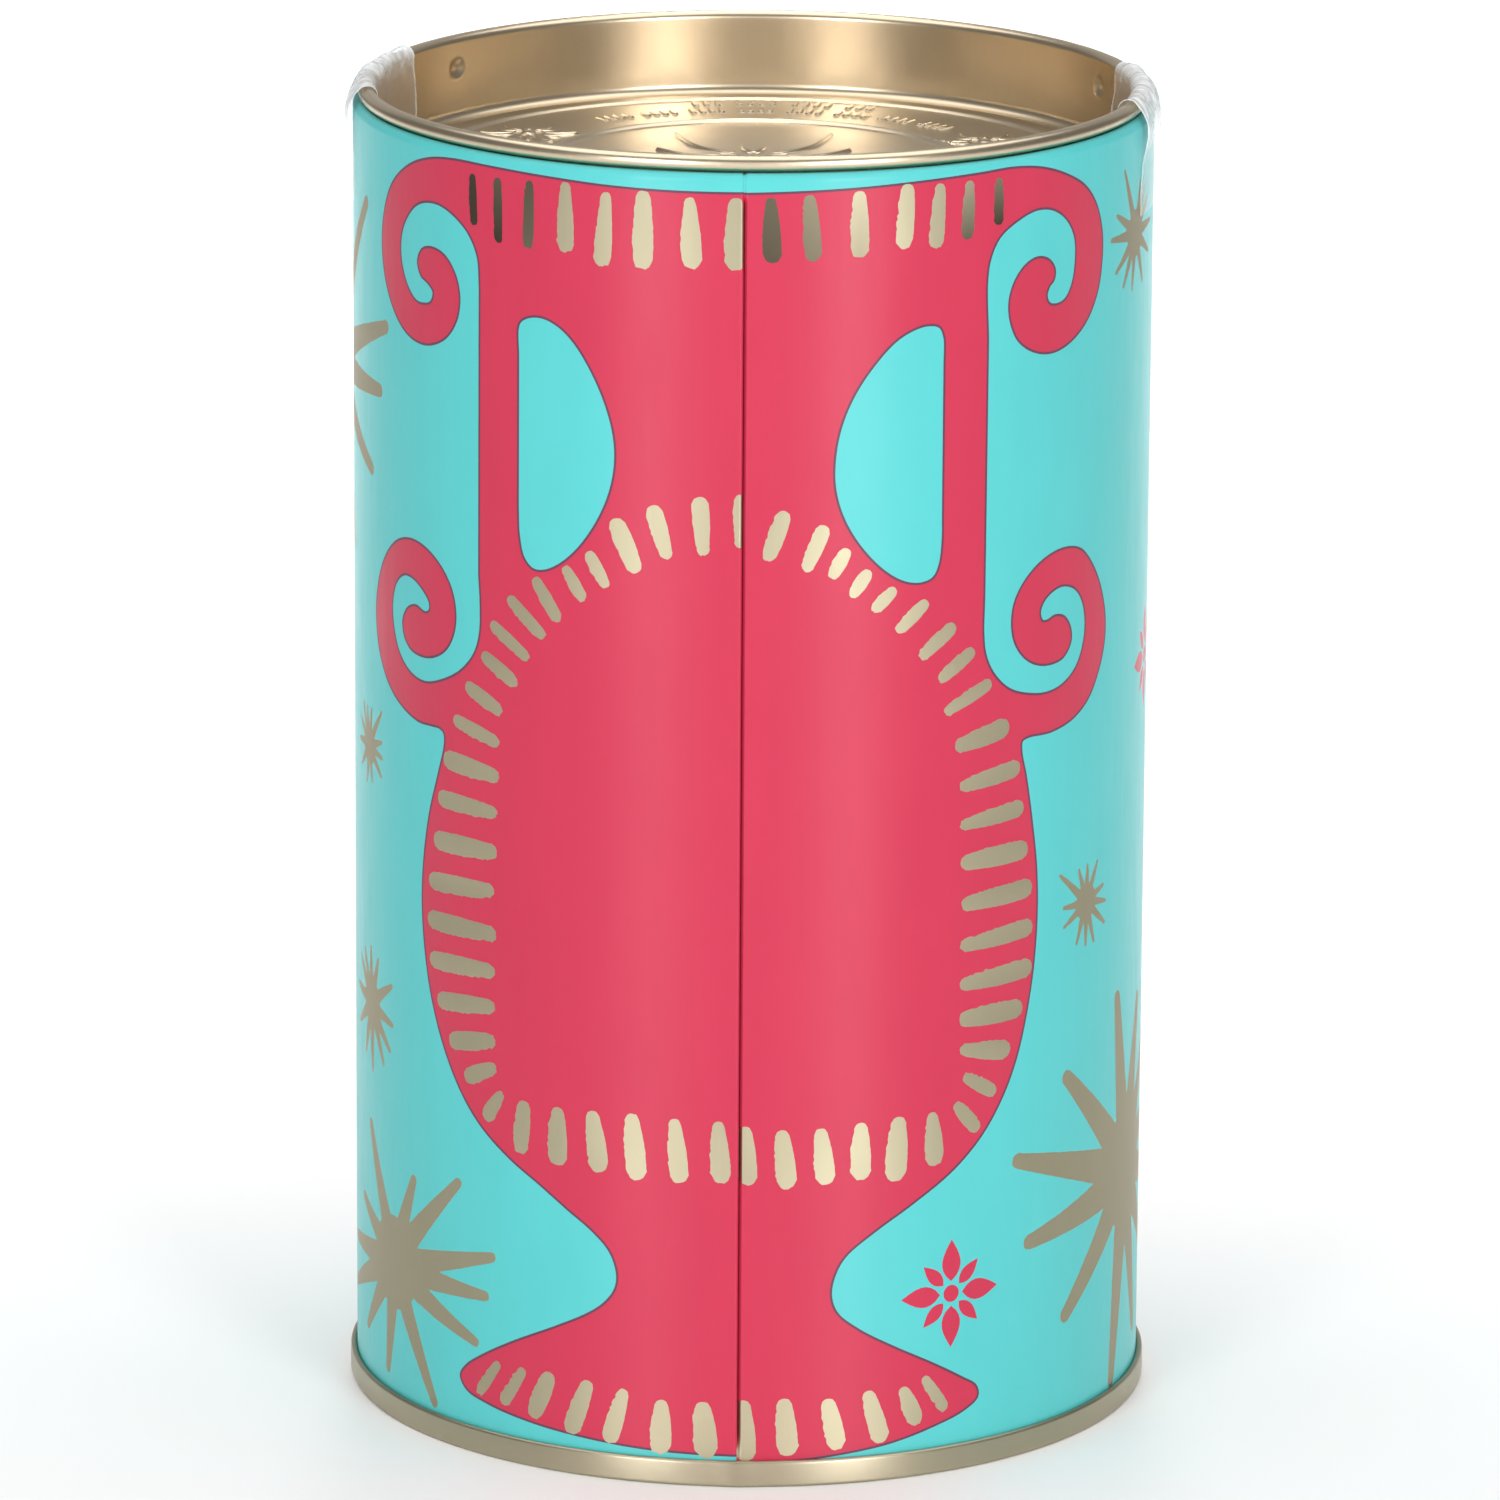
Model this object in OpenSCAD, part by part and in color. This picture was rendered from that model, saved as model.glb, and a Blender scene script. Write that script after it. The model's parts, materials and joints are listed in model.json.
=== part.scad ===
// Round cookie tin: a rolled tinplate body with a folded side seam, a double-seamed base,
// a recessed plug lid with a curled rim, and two clear film seals that bridge lid and body.
// Origin: centre of the ring the tin stands on. +Z is up, and the side seam faces -Y.

/* [Body] */
// Outside diameter of the body tube
body_d = 85; // [60:0.5:120]
// Height of the body, from the standing ring to the top of its curled mouth
body_h = 140.7; // [80:0.1:220]
// Thickness of the tinplate sheet
sheet_t = 0.22; // [0.18:0.01:0.3]
// Outer radius of the inward curl round the mouth
mouth_curl_r = 0.85; // [0.7:0.05:1.1]

/* [Side seam] */
// Angle of the side seam from straight ahead, positive to the right
seam_turn = -1.4; // [-20:0.1:20]
// Width of the folded side seam
lock_w = 3.6; // [2.5:0.1:5]
// Width of the slope that drops the sheet into the fold
lock_slope_w = 0.8; // [0.6:0.05:1.5]

/* [Base] */
// Height of the double seam round the base
base_seam_h = 2.85; // [2.4:0.05:3.4]
// Height of the base panel above the table
base_panel_z = 3.1; // [2.8:0.1:5]
// Height of the rounded channel round the base panel
base_channel_z = 4.5; // [4:0.1:7]
// Radius of the flat part of the base panel
base_panel_r = 37.5; // [25:0.5:38]

/* [Lid] */
// Outer radius of the curled rim bead
bead_r = 0.84; // [0.7:0.02:1]
// Radius from the tin's axis to the middle of the bead
bead_ring_r = 41.1; // [41:0.02:41.2]
// Height of the middle of the bead
bead_z = 141.56; // [141.5:0.01:141.7]
// Depth of the lid panel below the top of the bead
lid_depth = 9.2; // [7:0.1:14]
// Radius of the fillet between the lid wall and its panel
lid_fillet_r = 1.3; // [0.8:0.1:2]
// Radius of the step round the lid panel
lid_step_r = 38; // [36:0.1:38.4]
// Rise of the panel inside the step
lid_step_h = 0.4; // [0.2:0.05:0.8]
// Number of pressed dimples that centre the lid in the mouth
dimple_count = 3; // [3:1:6]
// Diameter of each dimple
dimple_d = 2.8; // [2:0.1:3.2]
// How far each dimple stands out of the lid wall
dimple_h = 0.2; // [0.1:0.02:0.22]
// Height of the dimples above the table
dimple_z = 138.9; // [138:0.1:139.2]
// Angle of the first dimple, measured from +X
dimple_turn = 23; // [0:1:119]

/* [Lid relief] */
// Height of the pressed relief on the lid panel
relief_h = 0.35; // [0.2:0.05:0.6]
// Radius of the raised ring
relief_ring_r = 22.5; // [15:0.5:26]
// Number of petals in the rosette inside the ring
petal_count = 12; // [6:1:18]
// Length of the longer petals
petal_len = 17; // [8:0.5:19]

/* [Seals] */
// Width of the clear film
film_w = 24; // [12:0.5:30]
// Thickness of the clear film
film_t = 0.1; // [0.08:0.01:0.15]
// Height of the film's lower edge inside the lid
film_inner_z = 135; // [134.5:0.1:139]
// Height of the film's lower edge on the body
film_outer_z = 130.5; // [110:0.5:137]
// Angle of the left seal's middle, measured from +X
left_seal_turn = 172.5; // [150:0.5:210]
// Angle of the right seal's middle, measured from +X
right_seal_turn = -1; // [-20:0.5:20]

/* [Hidden] */
$fn = 96;

litho_teal = "#5FD6D1";
lacquer_gold = "#C9AE7D";
compound_grey = "#8C8F8B";
film_clear = [0.93, 0.95, 0.96, 0.45];

body_r = body_d / 2;
layer_gap = 0.01;                     // air between two sheets that are folded together
pitch = sheet_t + layer_gap;          // from the middle of one folded sheet to the next
wall_r = body_r - sheet_t / 2;        // middle of the body sheet
arc_steps = 10;

// The double seam nests five sheets: chuck wall, body wall, cover hook, body hook, seaming wall.
chuck_r = wall_r - pitch;
cover_hook_r = wall_r + pitch;
body_hook_r = wall_r + 2 * pitch;
seaming_r = wall_r + 3 * pitch;
lower_turn_z = 2 * pitch + sheet_t / 2;
upper_turn_z = base_seam_h - pitch - sheet_t / 2;
body_hook_top = upper_turn_z - 0.35;
cover_hook_end = lower_turn_z + 0.4;
compound_inset = 0.02;
ring_corner_r = 0.3;                  // leaves a narrow flat that the tin stands on

// The mouth curls inward, and stops short of closing on the wall.
curl_path_r = mouth_curl_r - sheet_t / 2;
curl_z = body_h - mouth_curl_r;
curl_end = 300;

// The side seam's four sheets, as depths of their middles below the outer surface.
lock_bottom = base_channel_z + 0.7;
lock_top = curl_z - mouth_curl_r - 0.5;
lock_cut_left = lock_w + 1.2;
lock_cut_right = lock_slope_w + 1.2;
lock_inset = 0.015;                   // how much the folded sheet is thinner than the wall, each side
lock_lap = 0.05;                      // how far the folded sheet runs into the wall round it
lock_step = 0.3;
line_groove_r = 0.16;

lid_wall_r = bead_ring_r - bead_r + sheet_t / 2;
bead_path_r = bead_r - sheet_t / 2;
bead_end = -125;
lid_flat_z = bead_z + bead_r - lid_depth - sheet_t / 2;
ring_bead_r = 0.9;                    // roundness of the raised ring on the panel

film_gap = 0.02;                      // adhesive between the film and the lid
film_air = 0.13;                      // air between the film's outer leg and the body
inner_leg_r = bead_ring_r - bead_r - film_gap - film_t / 2;
fold_path_r = bead_r + film_gap + film_t / 2;
fold_end = 16;                        // where the fold hands over to the tab, on the bead
tab_r = body_r + film_air + film_t / 2;
tab_top = [bead_ring_r + bead_r + 0.18, bead_z - 0.02];
tab_shoulder = [tab_r, curl_z - 0.05];
film_angle = film_w / body_r * 180 / PI;

function unit(v) = v / norm(v);
function reversed(list) = [for (i = [len(list) - 1:-1:0]) list[i]];
function left_normal(a, b) = let (d = unit(b - a)) [-d[1], d[0]];

// Points on an arc, from one angle to another.
function arc(centre, r, from, to, steps = arc_steps) =
    [for (i = [0:steps]) let (a = from + (to - from) * i / steps) centre + r * [cos(a), sin(a)]];

// A path moved sideways by h, with mitred corners.
function side(path, h) = let (last = len(path) - 1)
    [for (i = [0:last])
        let (before = left_normal(path[max(i - 1, 0)], path[max(i, 1)]),
             after = left_normal(path[min(i, last - 1)], path[min(i + 1, last)]),
             m = unit(before + after))
        path[i] + m * h / (m * before)];

// A sheet of thickness t that follows a path.
module ribbon(path, t = sheet_t) {
    polygon(concat(side(path, t / 2), reversed(side(path, -t / 2))));
}

// A point of the side seam, from its distance along the wall and its depth in sheets.
function on_wall(along, depth) = let (r = wall_r - depth * pitch, a = along / wall_r * 180 / PI)
    [r * sin(a), -r * cos(a)];

// The sheet on the left ends in a hook: in at the top layer, back at the third.
function hook_path() = concat(
    [for (s = [-lock_cut_left - lock_lap:lock_step:-pitch - 0.05]) on_wall(s, 0)],
    [for (a = [90:-15:-90]) on_wall(-pitch + pitch * cos(a), 1 - sin(a))],
    [for (s = [-pitch - 0.1:-lock_step:-lock_w + 0.3]) on_wall(s, 2)]);

// The sheet on the right slopes under the hook and folds back into it.
function slope_depth(s) = 1.5 + 1.5 * cos(180 * s / lock_slope_w);
function fold_path() = concat(
    [for (s = [lock_cut_right + lock_lap:-lock_step / 2:lock_slope_w + 0.05]) on_wall(s, 0)],
    [for (s = [lock_slope_w:-lock_slope_w / 12:0.01]) on_wall(s, slope_depth(s))],
    [for (s = [0:-lock_step:-lock_w + 0.1]) on_wall(s, 3)],
    [for (a = [90:15:270]) on_wall(-lock_w + pitch * cos(a), 2 + sin(a))],
    [for (s = [-lock_w + 0.1:lock_step:-2 * pitch]) on_wall(s, 1)]);

module body_profile() {
    ribbon(concat(
        [[body_hook_r, body_hook_top]],
        arc([cover_hook_r, lower_turn_z], pitch, 0, -180),
        [[wall_r, lock_bottom], [wall_r, lock_top]],
        arc([wall_r - curl_path_r, curl_z], curl_path_r, 0, curl_end, 2 * arc_steps)));
}

// The wedge of wall that the side seam's own sheets take up.
module seam_wedge() {
    left = lock_cut_left / wall_r * 180 / PI;
    right = lock_cut_right / wall_r * 180 / PI;
    reach = body_r + 5;
    polygon([[0, 0], reach * [-sin(left), -cos(left)], reach * [0, -1.1], reach * [sin(right), -cos(right)]]);
}

module body_shell() {
    color(litho_teal) rotate([0, 0, seam_turn]) {
        difference() {
            rotate_extrude() body_profile();
            translate([0, 0, lock_bottom])
                linear_extrude(lock_top - lock_bottom) seam_wedge();
            translate([line_groove_r, -body_r - 0.04, base_seam_h])
                cylinder(r = line_groove_r, h = lock_bottom - base_seam_h + 0.01, $fn = 24);
            translate([line_groove_r, -body_r - 0.04, lock_top - 0.01])
                cylinder(r = line_groove_r, h = curl_z - lock_top, $fn = 24);
        }
        translate([0, 0, lock_bottom - lock_lap]) linear_extrude(lock_top - lock_bottom + 2 * lock_lap) {
            ribbon(hook_path(), sheet_t - 2 * lock_inset);
            ribbon(fold_path(), sheet_t - 2 * lock_inset);
        }
    }
}

// The base: a flat panel, a rounded channel, the chuck wall and the double seam's outer sheets.
module base_profile() {
    channel_r = 1;
    ribbon(concat(
        [[0, base_panel_z], [base_panel_r, base_panel_z]],
        arc([base_panel_r, base_panel_z + 0.4], 0.4, -80, -30, 4),
        [[chuck_r - channel_r - 1.6, base_channel_z - 0.15]],
        arc([chuck_r - channel_r, base_channel_z - channel_r], channel_r, 95, 0),
        arc([chuck_r + ring_corner_r, ring_corner_r + sheet_t / 2], ring_corner_r, -180, -90),
        arc([seaming_r - ring_corner_r, ring_corner_r + sheet_t / 2], ring_corner_r, -90, 0),
        arc([body_hook_r, upper_turn_z], pitch, 0, 180),
        [[cover_hook_r, cover_hook_end]]));
}

module base_end() {
    color(lacquer_gold) rotate_extrude() base_profile();
}

// The lining compound is squeezed into the two pockets at the ends of the hooks.
module seam_compound() {
    ring_w = sheet_t - 2 * compound_inset + 2 * layer_gap;
    color(compound_grey) rotate_extrude() {
        translate([body_hook_r - ring_w / 2, body_hook_top + compound_inset])
            square([ring_w, upper_turn_z - body_hook_top - compound_inset]);
        translate([cover_hook_r - ring_w / 2, lower_turn_z])
            square([ring_w, cover_hook_end - lower_turn_z - compound_inset]);
    }
}

module lid_profile() {
    step_arc = lid_step_h / 2;
    ribbon(concat(
        [[0, lid_flat_z + lid_step_h], [relief_ring_r - ring_bead_r, lid_flat_z + lid_step_h]],
        arc([relief_ring_r, lid_flat_z + lid_step_h + relief_h - ring_bead_r], ring_bead_r, 130, 50, 8),
        [[relief_ring_r + ring_bead_r, lid_flat_z + lid_step_h]],
        arc([lid_step_r - step_arc, lid_flat_z + step_arc], step_arc, 90, 20, 4),
        arc([lid_step_r + step_arc + 0.1, lid_flat_z + step_arc], step_arc, 200, 270, 4),
        arc([lid_wall_r - lid_fillet_r, lid_flat_z + lid_fillet_r], lid_fillet_r, -90, 0),
        arc([bead_ring_r, bead_z], bead_path_r, 180, bead_end, 3 * arc_steps)));
}

// A dimple is a shallow dome of the same sheet, pressed outward through the lid wall.
dome_r = (dimple_d * dimple_d / 4 + dimple_h * dimple_h) / (2 * dimple_h);

module at_dimples() {
    for (i = [0:dimple_count - 1])
        rotate([0, 0, dimple_turn + i * 360 / dimple_count])
            translate([lid_wall_r + sheet_t / 2, 0, dimple_z]) rotate([0, 90, 0]) children();
}

module dimple_hollow() {
    translate([0, 0, dimple_h - dome_r]) sphere(r = dome_r - sheet_t);
}

module dimple_dome() {
    difference() {
        translate([0, 0, dimple_h - dome_r]) sphere(r = dome_r);
        translate([0, 0, -2 * dome_r - sheet_t / 2]) cylinder(r = dome_r + 1, h = 2 * dome_r);
        dimple_hollow();
    }
}

// A pointed petal, from one radius to another.
module petal(from, to, w) {
    mid = (from * 2 + to) / 3;
    outline = [[from, -w / 6], [mid, -w / 2], [to, 0], [mid, w / 2], [from, w / 6]];
    linear_extrude(relief_h + sheet_t / 2) polygon(outline);
}

// Pressed relief: a rosette, a curved row of dashes behind it, and a spray of leaves on each side.
module relief() {
    for (i = [0:petal_count - 1])
        rotate([0, 0, i * 360 / petal_count]) petal(4, i % 2 == 0 ? petal_len : petal_len * 0.7, 3);
    cylinder(r = 3, h = relief_h + sheet_t / 2);
    for (i = [-5:5])
        rotate([0, 0, 90 + 5 * i]) translate([29.5, -0.9, 0]) cube([1.1, 1.8, relief_h + sheet_t / 2]);
    for (flip = [0, 1]) mirror([flip, 0, 0])
        for (i = [-2:2])
            translate([25.5, 15, 0]) rotate([0, 0, 60 + 24 * i]) petal(1.8, 5.5, 1.2);
}

module lid() {
    color(lacquer_gold) {
        difference() {
            union() {
                rotate_extrude() lid_profile();
                translate([0, 0, lid_flat_z + lid_step_h]) relief();
            }
            at_dimples() dimple_hollow();
        }
        at_dimples() dimple_dome();
    }
}

// Stands a film profile round the rim, over the width of the film.
module film_sector(turn) {
    rotate([0, 0, turn - film_angle / 2]) rotate_extrude(angle = film_angle) children();
}

// The leg stuck inside the lid, and the fold over the bead.
module seal_inner(turn) {
    color(film_clear) film_sector(turn)
        ribbon(concat([[inner_leg_r, film_inner_z]],
                      arc([bead_ring_r, bead_z], fold_path_r, 180, fold_end)), film_t);
}

// The leg outside, which peels off the body and swings up about the rim.
module seal_tab(turn) {
    color(film_clear) film_sector(turn)
        ribbon([tab_top, tab_shoulder, [tab_r, film_outer_z]], film_t);
}

module left_seal_inner() { seal_inner(left_seal_turn); }
module left_seal_tab() { seal_tab(left_seal_turn); }
module right_seal_inner() { seal_inner(right_seal_turn); }
module right_seal_tab() { seal_tab(right_seal_turn); }

body_shell();
base_end();
seam_compound();
lid();
left_seal_inner();
left_seal_tab();
right_seal_inner();
right_seal_tab();
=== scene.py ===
"""The looks of the printed cookie tin: printed wall, gold-lacquered lid and base, two clear film seals.

Lengths are in millimetres until make() turns them into metres. On the wall, u runs round the tin from
straight ahead, positive to the right, and z is the height above the table.
"""

import json
import math

import bmesh
import bpy
import numpy as np
from mathutils import Matrix, Vector, noise
from mathutils.geometry import delaunay_2d_cdt

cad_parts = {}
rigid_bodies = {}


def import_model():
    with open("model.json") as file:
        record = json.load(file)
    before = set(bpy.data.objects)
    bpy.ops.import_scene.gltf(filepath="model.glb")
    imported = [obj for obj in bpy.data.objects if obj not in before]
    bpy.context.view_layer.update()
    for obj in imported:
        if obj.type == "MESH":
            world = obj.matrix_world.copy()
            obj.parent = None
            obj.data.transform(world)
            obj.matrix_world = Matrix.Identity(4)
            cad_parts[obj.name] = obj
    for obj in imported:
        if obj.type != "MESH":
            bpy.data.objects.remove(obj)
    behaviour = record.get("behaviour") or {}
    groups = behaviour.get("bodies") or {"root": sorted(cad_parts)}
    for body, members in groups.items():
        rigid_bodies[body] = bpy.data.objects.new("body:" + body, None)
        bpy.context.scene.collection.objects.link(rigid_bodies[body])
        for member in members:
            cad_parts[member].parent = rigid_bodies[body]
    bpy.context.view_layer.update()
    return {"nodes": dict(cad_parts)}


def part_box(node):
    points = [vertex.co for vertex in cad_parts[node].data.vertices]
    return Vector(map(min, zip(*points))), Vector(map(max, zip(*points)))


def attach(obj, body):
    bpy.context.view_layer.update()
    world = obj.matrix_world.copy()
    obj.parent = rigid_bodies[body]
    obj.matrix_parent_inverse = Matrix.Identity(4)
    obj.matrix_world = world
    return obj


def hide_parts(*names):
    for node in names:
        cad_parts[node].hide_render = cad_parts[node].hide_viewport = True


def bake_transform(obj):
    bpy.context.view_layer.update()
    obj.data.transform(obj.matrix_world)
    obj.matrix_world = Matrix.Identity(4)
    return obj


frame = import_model()
MM = 0.001
rng = np.random.default_rng(11)


# ---------------------------------------------------------------- sizes

def reach(node, above=-1.0):
    """How far a CAD node reaches from the tin's axis, over its vertices above a height in metres."""
    points = [v.co for v in frame["nodes"][node].data.vertices]
    return max(math.hypot(p.x, p.y) for p in points if p.z > above) / MM


def top(node):
    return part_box(node)[1].z / MM


SHEET = 0.22                             # the tinplate
BODY_R = reach("body_shell", above=0.02)
BODY_TOP = top("body_shell")
ROUND = 2 * math.pi * BODY_R
CURL_R = 0.85                            # the curl at the mouth
CURL_Z = BODY_TOP - CURL_R
BASE_SEAM_TOP = 2.85
LID_TOP = top("lid")
BEAD_R = 0.84                            # the lid's curled bead
BEAD_RING_R = reach("lid") - BEAD_R
BEAD_Z = LID_TOP - BEAD_R
LID_WALL_R = BEAD_RING_R - BEAD_R + SHEET / 2
PITCH = SHEET + 0.01                     # from one layer of a fold to the next
SEAM_U = -1.05                           # where the side seam is
FACETS = 256                             # the flat sides of a full turn


# ---------------------------------------------------------------- meshes

def make(name, points, faces, materials, index=None, normals=None, sharp=40):
    """A mesh object from points in millimetres."""
    mesh = bpy.data.meshes.new(name)
    mesh.from_pydata((np.asarray(points, float) * MM).tolist(), [], [list(f) for f in faces])
    for m in materials:
        mesh.materials.append(m)
    if index is not None:
        mesh.polygons.foreach_set("material_index", np.asarray(index, np.int32))
    mesh.shade_smooth()
    if normals is not None:
        mesh.normals_split_custom_set_from_vertices(np.asarray(normals, float).tolist())
    elif sharp:
        mesh.set_sharp_from_angle(angle=math.radians(sharp))
    obj = bpy.data.objects.new(name, mesh)
    bpy.context.scene.collection.objects.link(obj)
    return obj


def face_outward(obj):
    b = bmesh.new()
    b.from_mesh(obj.data)
    bmesh.ops.recalc_face_normals(b, faces=b.faces)
    b.to_mesh(obj.data)
    b.free()
    return obj


def weld(obj):
    """Joins the points that lie on one another, such as those on the axis."""
    b = bmesh.new()
    b.from_mesh(obj.data)
    bmesh.ops.remove_doubles(b, verts=b.verts, dist=1e-7)
    b.to_mesh(obj.data)
    b.free()
    return obj


def arc(cx, cy, r, start, end, steps=10):
    """Points on an arc, with its angles in degrees."""
    a = np.radians(np.linspace(start, end, steps + 1))
    return [(cx + r * c, cy + r * s) for c, s in zip(np.cos(a), np.sin(a))]


def sideways(path, h):
    """An open path moved sideways by h, with mitred corners."""
    p = np.asarray(path, float)
    d = np.diff(p, axis=0)
    n = np.column_stack([-d[:, 1], d[:, 0]]) / np.linalg.norm(d, axis=1)[:, None]
    before, after = np.vstack([n[:1], n]), np.vstack([n, n[-1:]])
    m = before + after
    m /= np.linalg.norm(m, axis=1)[:, None]
    return p + m * h / np.sum(m * before, axis=1)[:, None]


def ribbon(path, thickness=SHEET):
    """The outline of a sheet that follows a path."""
    return np.vstack([sideways(path, -thickness / 2), sideways(path, thickness / 2)[::-1]])


def even_angles(count=FACETS):
    return np.arange(count) * 2 * math.pi / count


def revolve(name, section, materials, angles=None, closed=True, warp=None, sharp=40):
    """Turns an outline of (radius, height) points round the tin's axis."""
    angles = even_angles() if angles is None else np.asarray(angles)
    s = np.asarray(section, float)
    a, r = np.meshgrid(angles, s[:, 0], indexing="ij")
    z = np.broadcast_to(s[:, 1], r.shape)
    if warp:
        r, z = warp(a, r, z)
    points = np.stack([r * np.cos(a), r * np.sin(a), z], -1).reshape(-1, 3)
    rows, n = len(angles), len(s)
    faces = []
    for i in range(rows):
        k = (i + 1) % rows
        for j in range(n if closed else n - 1):
            m = (j + 1) % n
            faces.append((i * n + j, k * n + j, k * n + m, i * n + m))
    return make(name, points, faces, materials, sharp=sharp)


# ---------------------------------------------------------------- flat outlines

def curve(points, steps=7):
    """A smooth open curve through the points: a centripetal Catmull-Rom spline."""
    p = np.asarray(points, float)
    if len(p) < 3:
        return p
    p = np.vstack([2 * p[0] - p[1], p, 2 * p[-1] - p[-2]])
    out = []
    for a, b, c, d in zip(p, p[1:], p[2:], p[3:]):
        t = np.cumsum([0] + [math.sqrt(np.linalg.norm(y - x)) for x, y in ((a, b), (b, c), (c, d))])
        s = np.linspace(t[1], t[2], steps, endpoint=False)[:, None]
        ab = (a * (t[1] - s) + b * (s - t[0])) / (t[1] - t[0])
        bc = (b * (t[2] - s) + c * (s - t[1])) / (t[2] - t[1])
        cd = (c * (t[3] - s) + d * (s - t[2])) / (t[3] - t[2])
        abc = (ab * (t[2] - s) + bc * (s - t[0])) / (t[2] - t[0])
        bcd = (bc * (t[3] - s) + cd * (s - t[1])) / (t[3] - t[1])
        out.append((abc * (t[2] - s) + bcd * (s - t[1])) / (t[2] - t[1]))
    out.append(p[-2][None])
    return np.vstack(out)


def outline(*runs):
    """A closed outline from smooth runs that meet end to end."""
    return np.vstack([curve(r)[:-1] if i < len(runs) - 1 else curve(r) for i, r in enumerate(runs)])


def anticlockwise(p):
    p = np.asarray(p, float)
    area = np.sum(p[:, 0] * np.roll(p[:, 1], -1) - np.roll(p[:, 0], -1) * p[:, 1])
    return p if area > 0 else p[::-1]


def outward(p):
    """Unit normals of a closed anticlockwise outline."""
    d = np.roll(p, -1, axis=0) - np.roll(p, 1, axis=0)
    n = np.column_stack([d[:, 1], -d[:, 0]])
    return n / np.maximum(np.linalg.norm(n, axis=1), 1e-9)[:, None]


def grown(p, by):
    """A closed outline, larger by a distance all round, or smaller."""
    p = anticlockwise(p)
    return p + outward(p) * by


def disc(u, z, r, count=24):
    a = even_angles(count)
    return np.column_stack([u + r * np.cos(a), z + r * np.sin(a)])


STROKE_STEP = 0.33                       # between the points along the sides of a brush stroke
END_BULGE = 0.42                         # how far its ends are rounded, in widths
CLEANER_SIDE = 0.3                       # how ragged its cleaner side is, compared with the other


def stroke(u0, z0, u1, z1, w0, w1, rough=0.05, belly=0.16):
    """A dry brush stroke: a tapered bar, fuller in the middle, with rounded ends, ragged on one side."""
    a, b = np.array([u0, z0]), np.array([u1, z1])
    length = np.linalg.norm(b - a)
    d = (b - a) / length
    n = np.array([-d[1], d[0]])
    cross = np.linspace(1, -1, 7)
    bulge = np.sqrt(1 - np.abs(cross) ** 2) * END_BULGE
    steps = np.linspace(0, 1, max(3, int(length / STROKE_STEP)) + 1)[1:-1]
    widths = (w0 + (w1 - w0) * steps) * (1 + belly * np.sin(math.pi * steps))
    points = [a + n * t * w0 / 2 - d * k * w0 for t, k in zip(cross, bulge)]
    points += [a + (b - a) * f - n * w / 2 for f, w in zip(steps, widths)]
    points += [b - n * t * w1 / 2 + d * k * w1 for t, k in zip(cross, bulge)]
    points += [a + (b - a) * f + n * w / 2 for f, w in zip(steps[::-1], widths[::-1])]
    torn = np.full(len(points), CLEANER_SIDE)
    torn[len(cross):len(cross) + len(steps) + len(cross)] = 1
    return anticlockwise(np.array(points) + rng.normal(0, rough, (len(points), 2)) * torn[:, None])


def leaf(u, z, angle, length, width, start=0.0):
    """A pointed leaf that starts a little way from a point and runs outward at an angle in degrees."""
    t = np.linspace(0, 1, 9)
    half = width / 2 * np.sin(math.pi * t ** 0.8)
    x = start + length * t
    p = np.vstack([np.column_stack([x, half]), np.column_stack([x, -half])[-2:0:-1]])
    c, s = math.cos(math.radians(angle)), math.sin(math.radians(angle))
    return anticlockwise(p @ np.array([[c, s], [-s, c]]) + (u, z))


# ---------------------------------------------------------------- the print: an urn with scrolled handles

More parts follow.
